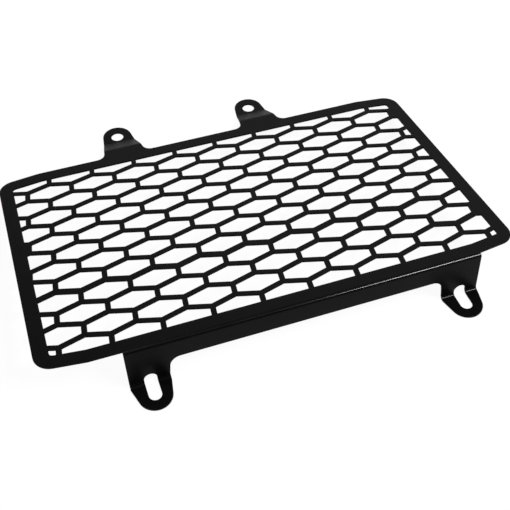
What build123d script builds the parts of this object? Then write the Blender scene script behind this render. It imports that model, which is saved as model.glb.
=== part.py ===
from build123d import *
import os
from math import cos, radians, sin, tan

# A motorcycle radiator guard, cut and folded from one sheet. Millimetres and degrees.
# The feet and the ends of the rear tabs lie on the mounting plane Z = 0, against the radiator's
# lugs. X runs along the panel and +Y towards the rear tabs. The origin is on the mounting plane,
# midway between the two tab holes.

# Sheet
sheet = 1.2
fold_radius = 0.8  # inside, between the panel and the front flange
bend_radius = 2.0  # inside, at the feet and at the foot of the tabs' ramps

# Panel
panel_length = 269.0
panel_depth = 164.6  # from the front fold to the back edge
panel_tilt = 6.7  # the panel stands further off the radiator at its front
panel_shift = 6.6  # the panel's middle, along X from the middle of the tab holes
panel_corner = 10.0
taper_run = 25.5  # the long edges run in over this length at both ends
taper_angle = 7.4
border = 8.0
field_shift = 0.3  # the honeycomb's field, along X from the panel's middle

# Honeycomb
cell_pitch = 27.0
row_pitch = 12.0
strut = 3.1
flank = 7.9  # length of a short strut, from node to node
comb_lean = 6.9  # the short struts and the columns lean towards +X at the back
comb_shift_x = 9.1  # the middle cell, from the panel's middle
comb_shift_y = 1.0
seam_row = -3  # the zigzag strut behind this row, counted from the middle cell's, is wider
seam_widening = 0.85
seam_slip = 0.4  # the cells in front of the seam sit this far to the left
seam_end = 105.0  # further right, the seam is two rows further forward
smallest_opening = 9.0  # a cell that the border cuts down to less than this area stays closed

# Rear tabs
tab_spacing = 92.5
tab_hole = 8.0
tab_end_radius = 9.4
tab_root_width = 27.0
tab_root_fillet = 5.5
tab_base = 8.1  # from the panel's back edge to the first bend
tab_ramp = 12.8
tab_ramp_angle = 24.0  # from the mounting plane
tab_crest = 9.0  # radius of the softer bend at the ramp's top
tab_flat = 5.6  # from the second bend to the hole

# Front flange and feet
foot_spacing = 179.4
foot_width = 22.0
foot_shift = 9.6  # the middle of the feet, along X from the panel's middle
flange_shift = -0.4  # the flange behind the feet, along X from their middles
foot_end_radius = 9.3
foot_reach = 8.3  # from the flange's face to the middle of the foot's round end
flange_height = 12.7  # between the feet, from the panel's top face
flange_corner = 6.0
foot_lean = 6.0  # down the flange, the inner edges of the feet lean outwards
slot_width = 7.0
slot_rise = 5.5  # the slot runs round the bend and this far up the flange

# Worked out from the sizes above
half_length = panel_length / 2
half_depth = panel_depth / 2
fold_outer = fold_radius + sheet
bend_outer = bend_radius + sheet
lap = border / 2  # the folded pieces reach this far into the panel's border
tilt = radians(panel_tilt)
ramp = radians(tab_ramp_angle)
lean = tan(radians(comb_lean))

# Profile of the sheet's top face in Y and Z, from the tab holes forward
ramp_foot = Vector(0, -tab_flat, sheet)
ramp_head = ramp_foot + Vector(0, -cos(ramp), sin(ramp)) * tab_ramp
forward = Vector(0, -cos(tilt), sin(tilt))
upward = Vector(0, sin(tilt), cos(tilt))
back_edge = ramp_head + forward * tab_base
panel_middle = back_edge + forward * half_depth + Vector(panel_shift, 0, 0)
fold = panel_middle + forward * (half_depth + fold_outer)
flange_length = (fold.Z - sheet) / cos(tilt)
foot_bend = fold - upward * flange_length
panel_plane = Plane(panel_middle, x_dir=(1, 0, 0), z_dir=upward)
flange_plane = Plane(fold, x_dir=(1, 0, 0), z_dir=forward)

# Panel outline
with BuildSketch() as outline:
    end_depth = half_depth - taper_run * tan(radians(taper_angle))
    long_edge = half_length - taper_run
    right = [(long_edge, -half_depth), (half_length, -end_depth)]
    right += [(half_length, end_depth), (long_edge, half_depth)]
    Polygon(*right, *[(-x, -y) for x, y in right], align=None)
    columns = outline.vertices().group_by(Axis.X)
    fillet(columns[0] + columns[-1], radius=panel_corner)

# The field that the border leaves for the honeycomb
with BuildSketch() as field:
    with Locations((field_shift, 0)):
        add(outline.sketch)
    offset(amount=-border, mode=Mode.REPLACE)

# One opening: the leaning cell, less half a strut all round
with BuildSketch() as opening:
    peak = row_pitch - flank / 2
    back_half = [(cell_pitch / 2, flank / 2), (0, peak), (-cell_pitch / 2, flank / 2)]
    upright = back_half + [(-x, -y) for x, y in back_half]
    Polygon(*[(x + lean * y, y) for x, y in upright], align=None)
    offset(amount=-strut / 2, kind=Kind.INTERSECTION, mode=Mode.REPLACE)

# The honeycomb over the whole field, cut off by the border
with BuildSketch() as comb:
    rows = int(half_depth / row_pitch)
    cells = int(half_length / cell_pitch) + 2  # to each side, with two spare for the shift and lean
    for row in range(-rows, rows + 1):
        y = comb_shift_y + row * row_pitch
        middle = comb_shift_x + lean * y + row % 2 * cell_pitch / 2
        places = []
        for x in [middle + n * cell_pitch for n in range(-cells, cells + 1)]:
            in_front = row <= (seam_row - 2 if x > seam_end else seam_row)
            places.append((x - seam_slip, y - seam_widening) if in_front else (x, y))
        with Locations(*places):
            add(opening.sketch)
    add(field.sketch, mode=Mode.INTERSECT)
openings = [face for face in comb.faces() if face.area > smallest_opening]

# Plan of one foot, from the middle of its round end back to the bend
with BuildSketch() as foot_plan:
    Circle(foot_end_radius)
    with Locations((flange_shift, foot_reach)):
        Rectangle(foot_width, bend_radius, align=(Align.CENTER, Align.MAX))
    make_hull()

# Front flange and feet: a folded strip, cut away between the feet and round their ends
with BuildPart() as front:
    feet_middle = panel_shift + foot_shift
    flange_middle = feet_middle + flange_shift
    front_width = foot_spacing + foot_width
    foot_end_y = foot_bend.Y - foot_reach
    foot_tip_y = foot_end_y - foot_end_radius
    feet = [feet_middle - foot_spacing / 2, feet_middle + foot_spacing / 2]
    with BuildSketch(Plane.YZ.offset(flange_middle)):
        with BuildLine():
            start = fold - forward * (fold_outer + lap)
            corners = [(start.Y, start.Z), (fold.Y, fold.Z), (foot_bend.Y, sheet), (foot_tip_y, sheet)]
            FilletPolyline(*corners, radius=[fold_outer, bend_radius])
            offset(amount=sheet, side=Side.LEFT, closed=True)
        make_face()
    extrude(amount=front_width / 2, both=True)

    with BuildSketch(flange_plane) as gap:
        gap_half = (foot_spacing - foot_width) / 2
        bend_top = flange_length - bend_radius
        leaning = (bend_top - flange_height) * tan(radians(foot_lean))
        side = [(gap_half - leaning, -flange_height), (gap_half, -bend_top), (gap_half, -2 * flange_length)]
        with Locations((flange_middle - panel_shift, 0)):
            Polygon(*side, *[(-x, y) for x, y in reversed(side)], align=None)
        fillet(gap.vertices().group_by(Axis.Y)[-1], radius=flange_corner)
    extrude(amount=foot_reach + foot_end_radius + bend_outer, both=True, mode=Mode.SUBTRACT)

    with BuildSketch():
        with Locations((flange_middle, foot_bend.Y)):
            Rectangle(front_width, panel_depth, align=(Align.CENTER, Align.MIN))
        with Locations(*[(x, foot_end_y) for x in feet]):
            add(foot_plan.sketch)
    extrude(amount=fold.Z, mode=Mode.INTERSECT)

    with BuildSketch():
        with Locations(*[(x, foot_end_y) for x in feet]):
            Circle(slot_width / 2)
            Rectangle(slot_width, foot_reach + bend_outer, align=(Align.CENTER, Align.MIN))
    extrude(amount=bend_outer, mode=Mode.SUBTRACT)

    with BuildSketch(flange_plane):
        slot_top = slot_rise - flange_length - slot_width / 2
        with Locations(*[(x - panel_shift, slot_top) for x in feet]):
            Circle(slot_width / 2)
            Rectangle(slot_width, slot_rise, align=(Align.CENTER, Align.MAX))
    extrude(amount=-bend_outer, mode=Mode.SUBTRACT)

# One rear tab: a strip stepped down to the mounting plane, trimmed to a round end with a hole
with BuildPart() as tab:
    strip_width = tab_root_width + 4 * tab_root_fillet  # leaves room for the fillets at the root
    with BuildSketch(Plane.YZ):
        with BuildLine():
            start = back_edge + forward * lap
            corners = [(start.Y, start.Z), (ramp_head.Y, ramp_head.Z), (ramp_foot.Y, ramp_foot.Z)]
            FilletPolyline(*corners, (tab_end_radius, sheet), radius=[tab_crest, bend_radius])
            offset(amount=sheet, side=Side.RIGHT, closed=True)
        make_face()
    extrude(amount=strip_width / 2, both=True)

    with BuildSketch(panel_plane) as tab_plan:
        hole = panel_plane.to_local_coords(Vector(0, 0, sheet))
        root = (-panel_shift, half_depth)
        with Locations(root):
            Rectangle(tab_root_width, lap, align=(Align.CENTER, Align.MAX))
        with Locations((hole.X, hole.Y)):
            Circle(tab_end_radius)
        make_hull()
        with Locations(root):
            Rectangle(strip_width, lap, align=(Align.CENTER, Align.MAX))
        fillet(tab_plan.vertices().sort_by_distance(root)[:2], radius=tab_root_fillet)
    extrude(amount=fold.Z, both=True, mode=Mode.INTERSECT)
    with Locations((0, 0, sheet)):
        Hole(radius=tab_hole / 2)

# The whole guard
with BuildPart() as radiator_guard:
    with BuildSketch(panel_plane):
        add(outline.sketch)
        add(openings, mode=Mode.SUBTRACT)
    extrude(amount=-sheet)
    add(front.part)
    with Locations((-tab_spacing / 2, 0, 0), (tab_spacing / 2, 0, 0)):
        add(tab.part)

os.makedirs("parts", exist_ok=True)
radiator_guard.part.label = "radiator_guard"
export_step(radiator_guard.part, "parts/radiator_guard.step")
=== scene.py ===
from math import radians

import bmesh
import bpy
from mathutils import Matrix, Vector


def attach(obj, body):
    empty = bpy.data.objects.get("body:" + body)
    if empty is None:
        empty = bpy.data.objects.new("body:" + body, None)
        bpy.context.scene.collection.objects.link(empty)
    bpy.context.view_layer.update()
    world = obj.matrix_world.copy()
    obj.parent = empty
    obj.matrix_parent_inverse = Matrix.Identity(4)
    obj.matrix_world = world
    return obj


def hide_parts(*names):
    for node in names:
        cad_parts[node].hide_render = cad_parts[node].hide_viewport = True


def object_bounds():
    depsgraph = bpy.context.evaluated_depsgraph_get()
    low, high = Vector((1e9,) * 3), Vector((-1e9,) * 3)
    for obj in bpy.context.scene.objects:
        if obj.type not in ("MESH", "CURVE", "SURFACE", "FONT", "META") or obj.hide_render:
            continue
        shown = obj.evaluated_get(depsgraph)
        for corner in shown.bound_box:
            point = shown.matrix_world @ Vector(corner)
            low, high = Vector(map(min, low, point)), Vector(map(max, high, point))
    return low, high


# The looks of a motorcycle radiator guard: a black powder coat over one cut and folded sheet.
# Sizes are in millimetres and angles in degrees, except where a comment gives another unit.
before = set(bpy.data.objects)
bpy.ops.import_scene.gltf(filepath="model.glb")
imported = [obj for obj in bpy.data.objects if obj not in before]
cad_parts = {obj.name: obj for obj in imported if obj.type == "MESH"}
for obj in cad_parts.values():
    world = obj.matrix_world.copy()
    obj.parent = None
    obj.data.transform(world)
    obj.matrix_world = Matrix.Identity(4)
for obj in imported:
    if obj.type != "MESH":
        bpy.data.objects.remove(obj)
cad_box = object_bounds()
MM = 0.001

# Flats
MERGE = 0.05  # corners closer than this are one corner
FLAT_ANGLE = 1.0  # neighbouring faces that differ by less are one flat
FLAT_WEIGHT = 100  # large faces set the shading where they meet a rounded rim

# Cut rims
RIM_ANGLE = 40.0  # a sharper edge is a cut rim
RIM_ROUND = 0.25  # the coat rounds the rims off
RIM_STEPS = 3
SLIVER = 0.01  # square millimetres: a smaller face carries no shape

# Bends at the front: the fold along the panel's edge and the bends above the feet
PANEL_TILT = 6.7  # the panel's slope, from the mounting plane
PLATE_ANGLE = 12.0  # a face closer than this to a plate's slope is flat or hardly bent
BEND_TOP = 55.0  # the part of a bend that faces up within this angle has a glossier coat
FRONT_REACH = 25.0  # the bends lie this close to the feet's tips
SIDE_LEAN = 0.02  # a bend's normals lean along X by no more than this share

# Powder coat
COAT_BLACK = 0.0022
PATCHES = 90.0  # a metre
PATCH_DETAIL = 4.0
PATCH_EDGES = (0.3, 0.7)  # values of the noise at the darkest and the lightest patches
PATCH_TONES = (0.85, 1.15)  # the darkest and the lightest, as shares of the coat's black
PATCH_DULLNESS = 0.05  # roughness, up and down
GRAINS = 1400.0  # a metre
GRAIN_DETAIL = 2.0
GRAIN_DEPTH = 0.05

# Floor, with tones from 0 to 1 for white
FLOOR_WIDTH = 40.0  # metres
FLOOR_DROP = 0.2  # below the feet
FLOOR_PAINT = 0.8
FLOOR_SHADED = 0.08  # the part of the floor's white that a shadow takes away
FLOOR_GLOW = 0.93

# Room, with tones from 0 to 1 for white. Edges are where a tone starts and ends to change, measured
# on directions of length 1.
WALL_DIRECTION = (0.18, 0.88, -0.44)
WALL_EDGE = (0.08, 0.38)  # along the wall's direction
WALL_TONE = 0.63
ROOM_TONE = 0.15
GAP_MIDDLE = 0.15  # along X
GAP_EDGE = (0.2, 0.32)  # along X, from the gap's middle
OVERHEAD_EDGE = (0.6, 0.85)  # along Z
OVERHEAD_TONE = 0.2
HORIZON_EDGE = (0.06, 0.12)  # along Z
HORIZON_TONE = 0.96

# Lamps' aims, in metres
PANEL_AIM = (0.0, -0.1, 0.0)
FOLD_AIM = (0.06, -0.19, 0.03)

# Camera
CAMERA_PLACE = (-102.7, -438.9, 376.8)
CAMERA_HEADING = 19.36  # from +Y towards +X
CAMERA_DOWN = 48.86
CAMERA_ROLL = 0.165
CAMERA_LENS = 59.96
CAMERA_SENSOR = 36.0
CAMERA_NEAR = 10.0  # what is closer than this isn't drawn


# Shader nodes


def grey(tone):
    return (tone, tone, tone, 1)


def add_node(tree, kind, settings):
    """Adds a node, with each input set to a value or linked to another node's output."""
    node = tree.nodes.new("ShaderNode" + kind)
    for name, setting in settings.items():
        if isinstance(setting, bpy.types.NodeSocket):
            tree.links.new(setting, node.inputs[name])
        else:
            node.inputs[name].default_value = setting
    return node


def calculate(tree, operation, first, second=0.0):
    node = add_node(tree, "Math", {0: first, 1: second})
    node.operation = operation
    return node.outputs["Value"]


def fade(tree, value, edge, before, after):
    """Goes from one level to another while the value crosses the edge."""
    span = {"From Min": edge[0], "From Max": edge[1], "To Min": before, "To Max": after}
    return add_node(tree, "MapRange", {"Value": value, **span}).outputs["Result"]


def noise(tree, place, scale, detail):
    return add_node(tree, "TexNoise", {"Vector": place, "Scale": scale, "Detail": detail}).outputs["Fac"]


def new_material(name):
    material = bpy.data.materials.new(name)
    material.use_nodes = True
    material.node_tree.nodes.clear()
    return material, material.node_tree


# Materials


def powder_coat(name, roughness, gloss, graininess):
    """Near black and finely grained, with patches a little lighter and duller than others."""
    material, tree = new_material(name)
    place = add_node(tree, "TexCoord", {}).outputs["Object"]

    patches = noise(tree, place, PATCHES, PATCH_DETAIL)
    colour = add_node(tree, "ValToRGB", {"Fac": patches})
    for stop, position, tone in zip(colour.color_ramp.elements, PATCH_EDGES, PATCH_TONES):
        stop.position = position
        stop.color = grey(COAT_BLACK * tone)
    dullness = fade(tree, patches, (0, 1), roughness - PATCH_DULLNESS, roughness + PATCH_DULLNESS)

    grain = noise(tree, place, GRAINS, GRAIN_DETAIL)
    relief = {"Height": grain, "Strength": graininess, "Distance": GRAIN_DEPTH * MM}
    bump = add_node(tree, "Bump", relief)

    coat = add_node(tree, "BsdfPrincipled", {
        "Base Color": colour.outputs["Color"],
        "Roughness": dullness,
        "Specular IOR Level": gloss,
        "Normal": bump.outputs["Normal"],
    })
    add_node(tree, "OutputMaterial", {"Surface": coat.outputs["BSDF"]})
    return material


def white_floor():
    """White wherever it is seen, less a faint shadow, and plain white paint for the light it sends back."""
    material, tree = new_material("white_floor")
    paint = add_node(tree, "BsdfDiffuse", {"Color": grey(FLOOR_PAINT)})
    shaded = add_node(tree, "BsdfDiffuse", {"Color": grey(FLOOR_SHADED)})
    glow = add_node(tree, "Emission", {"Strength": FLOOR_GLOW})
    white = add_node(tree, "AddShader", {0: shaded.outputs["BSDF"], 1: glow.outputs["Emission"]})
    ray = add_node(tree, "LightPath", {}).outputs
    mirrored = calculate(tree, "MAXIMUM", ray["Is Glossy Ray"], ray["Is Transmission Ray"])
    seen = calculate(tree, "MAXIMUM", ray["Is Camera Ray"], mirrored)
    floor = add_node(tree, "MixShader", {"Fac": seen, 1: paint.outputs["BSDF"], 2: white.outputs["Shader"]})
    add_node(tree, "OutputMaterial", {"Surface": floor.outputs["Shader"]})
    return material


satin_coat = powder_coat("satin_black_coat", roughness=0.35, gloss=0.055, graininess=0.12)
fold_coat = powder_coat("coat_over_fold", roughness=0.16, gloss=0.3, graininess=0.04)
foot_bend_coat = powder_coat("coat_over_foot_bends", roughness=0.2, gloss=0.12, graininess=0.04)


# Guard


def deselect_all():
    bpy.ops.object.select_all(action="DESELECT")


def is_rim(edge):
    """True for an outer edge where a face of the sheet meets a cut wall."""
    if min(face.calc_area() for face in edge.link_faces) < SLIVER * MM * MM:
        return False
    return edge.is_convex and edge.calc_face_angle() > radians(RIM_ANGLE)


def is_off_the_rims(corner):
    return not any(is_rim(edge) for edge in corner.link_edges)


def select_only(guard, kind, wanted):
    """Selects the edges or the corners of the sheet that are wanted, and nothing else."""
    bpy.ops.mesh.select_mode(type=kind)
    bpy.ops.mesh.select_all(action="DESELECT")
    sheet = bmesh.from_edit_mesh(guard.data)
    choices = {"EDGE": sheet.edges, "VERT": sheet.verts}
    for choice in choices[kind]:
        choice.select_set(wanted(choice))
    bmesh.update_edit_mesh(guard.data)


def copy_sheet():
    """A copy of the solid's mesh, left selected and active, with the coats to choose from."""
    guard = bpy.data.objects.new("coated_guard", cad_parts["radiator_guard"].data.copy())
    bpy.context.scene.collection.objects.link(guard)
    guard.data.materials.clear()
    for coat in (satin_coat, fold_coat, foot_bend_coat):
        guard.data.materials.append(coat)
    deselect_all()
    guard.select_set(True)
    bpy.context.view_layer.objects.active = guard
    return guard


def join_flats(guard):
    """Makes one face of each flat, with no corners away from the rims."""
    bpy.ops.object.mode_set(mode="EDIT")
    bpy.ops.mesh.select_all(action="SELECT")
    bpy.ops.mesh.remove_doubles(threshold=MERGE * MM)
    bpy.ops.mesh.dissolve_limited(angle_limit=radians(FLAT_ANGLE))
    select_only(guard, "VERT", is_off_the_rims)
    bpy.ops.mesh.dissolve_verts()
    bpy.ops.object.mode_set(mode="OBJECT")


def plate_normals():
    """Normals of the plates on the mounting plane, of the panel and of the flange."""
    up = Vector((0, 0, 1))
    panel = Matrix.Rotation(radians(-PANEL_TILT), 3, "X") @ up
    flange = Matrix.Rotation(radians(90), 3, "X") @ panel
    return up, panel, flange


def on_a_front_bend(face, plates):
    """True for a face at the front that runs along X, faces up and is none of the flat plates."""
    if abs(face.normal.x) > SIDE_LEAN or face.center.y > cad_box[0].y + FRONT_REACH * MM:
        return False
    off_plate = [min(face.normal.angle(n), face.normal.angle(-n)) for n in plates]
    return min(off_plate) > radians(PLATE_ANGLE) and face.normal.angle(plates[0]) < radians(BEND_TOP)


def coat_the_bends(guard):
    """Gives the fold and the feet's bends their own coats, and leaves the first coat on the rest."""
    plates = plate_normals()
    half_way_up = (cad_box[0].z + cad_box[1].z) / 2
    for face in guard.data.polygons:
        if on_a_front_bend(face, plates):
            coat = fold_coat if face.center.z > half_way_up else foot_bend_coat
            face.material_index = guard.data.materials.find(coat.name)


def round_the_rims(guard):
    bpy.ops.object.mode_set(mode="EDIT")
    select_only(guard, "EDGE", is_rim)
    bpy.ops.mesh.bevel(offset=RIM_ROUND * MM, segments=RIM_STEPS, affect="EDGES", clamp_overlap=False)
    bpy.ops.object.mode_set(mode="OBJECT")


def shade_the_sheet(guard):
    """Smooth over bends and rims and flat on the flats, in triangles that keep this shading."""
    bpy.ops.object.shade_smooth_by_angle(angle=radians(RIM_ANGLE))
    flats = guard.modifiers.new("flats_stay_flat", "WEIGHTED_NORMAL")
    flats.mode = "FACE_AREA"
    flats.weight = FLAT_WEIGHT
    flats.keep_sharp = True
    bpy.ops.object.modifier_apply(modifier=flats.name)
    facets = guard.modifiers.new("even_facets", "TRIANGULATE")
    facets.ngon_method = "BEAUTY"
    facets.keep_custom_normals = True
    bpy.ops.object.modifier_apply(modifier=facets.name)


def make_guard():
    guard = copy_sheet()
    join_flats(guard)
    coat_the_bends(guard)
    round_the_rims(guard)
    shade_the_sheet(guard)
    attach(guard, "root")
    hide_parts("radiator_guard")


# Stage


def make_floor():
    deselect_all()
    floor_place = (0, 0, cad_box[0].z - FLOOR_DROP * MM)
    bpy.ops.mesh.primitive_plane_add(size=FLOOR_WIDTH, location=floor_place)
    floor = bpy.context.object
    floor.name = "floor"
    floor.data.materials.append(white_floor())


def dim_room(tree, axes):
    """Dim all round, with a dark gap from front to back that grows lighter overhead."""
    gap_tone = fade(tree, axes["Z"], OVERHEAD_EDGE, 0.0, OVERHEAD_TONE)
    from_gap = calculate(tree, "ABSOLUTE", calculate(tree, "SUBTRACT", axes["X"], GAP_MIDDLE))
    return fade(tree, from_gap, GAP_EDGE, gap_tone, ROOM_TONE)


def bright_wall(tree, direction, room):
    """A bright wall behind the guard, which the panel mirrors, and the room everywhere else."""
    towards_wall = add_node(tree, "VectorMath", {0: direction, 1: WALL_DIRECTION})
    towards_wall.operation = "DOT_PRODUCT"
    return fade(tree, towards_wall.outputs["Value"], WALL_EDGE, room, WALL_TONE)


def make_room():
    """The wall and the room, with a white horizon where the floor ends."""
    world = bpy.data.worlds.new("studio")
    world.use_nodes = True
    bpy.context.scene.world = world
    tree = world.node_tree
    direction = add_node(tree, "TexCoord", {}).outputs["Generated"]
    axes = add_node(tree, "SeparateXYZ", {"Vector": direction}).outputs
    room = bright_wall(tree, direction, dim_room(tree, axes))
    horizon = fade(tree, axes["Z"], HORIZON_EDGE, HORIZON_TONE, 0.0)
    brighter = calculate(tree, "MAXIMUM", room, horizon)
    tree.links.new(brighter, tree.nodes["Background"].inputs["Color"])


def make_softbox(name, place, aim, size, power):
    """A rectangular lamp, in metres and watts, turned towards its aim."""
    light = bpy.data.lights.new(name, "AREA")
    light.shape = "RECTANGLE"
    light.size, light.size_y = size
    light.energy = power
    lamp = bpy.data.objects.new(name, light)
    bpy.context.scene.collection.objects.link(lamp)
    lamp.location = place
    lamp.rotation_euler = (Vector(aim) - Vector(place)).to_track_quat("-Z", "Y").to_euler()


def make_lamps():
    """The right one glints on the fold, the back one lightens the panel, and two light the other sides."""
    make_softbox("right_softbox", place=(0.718, -0.749, 1.13), aim=FOLD_AIM, size=(0.67, 0.14), power=15.6)
    make_softbox("back_softbox", place=(0.74, 1.29, 1.23), aim=PANEL_AIM, size=(1.5, 0.5), power=2.7)
    make_softbox("left_softbox", place=(-0.77, -0.56, 0.96), aim=PANEL_AIM, size=(1.0, 1.0), power=4.0)
    make_softbox("top_softbox", place=(-0.45, 0.1, 1.35), aim=PANEL_AIM, size=(0.7, 0.9), power=3.0)


def make_camera():
    optics = bpy.data.cameras.new("camera")
    optics.sensor_width = CAMERA_SENSOR
    optics.lens = CAMERA_LENS
    optics.clip_start = CAMERA_NEAR * MM
    camera = bpy.data.objects.new("camera", optics)
    bpy.context.scene.collection.objects.link(camera)
    turn = Matrix.Rotation(radians(-CAMERA_HEADING), 4, "Z")
    nod = Matrix.Rotation(radians(90 - CAMERA_DOWN), 4, "X")
    roll = Matrix.Rotation(radians(CAMERA_ROLL), 4, "Z")
    camera.matrix_world = Matrix.Translation(Vector(CAMERA_PLACE) * MM) @ turn @ nod @ roll
    bpy.context.scene.camera = camera


make_guard()
make_floor()
make_room()
make_lamps()
make_camera()
bpy.context.scene.view_settings.view_transform = "Standard"
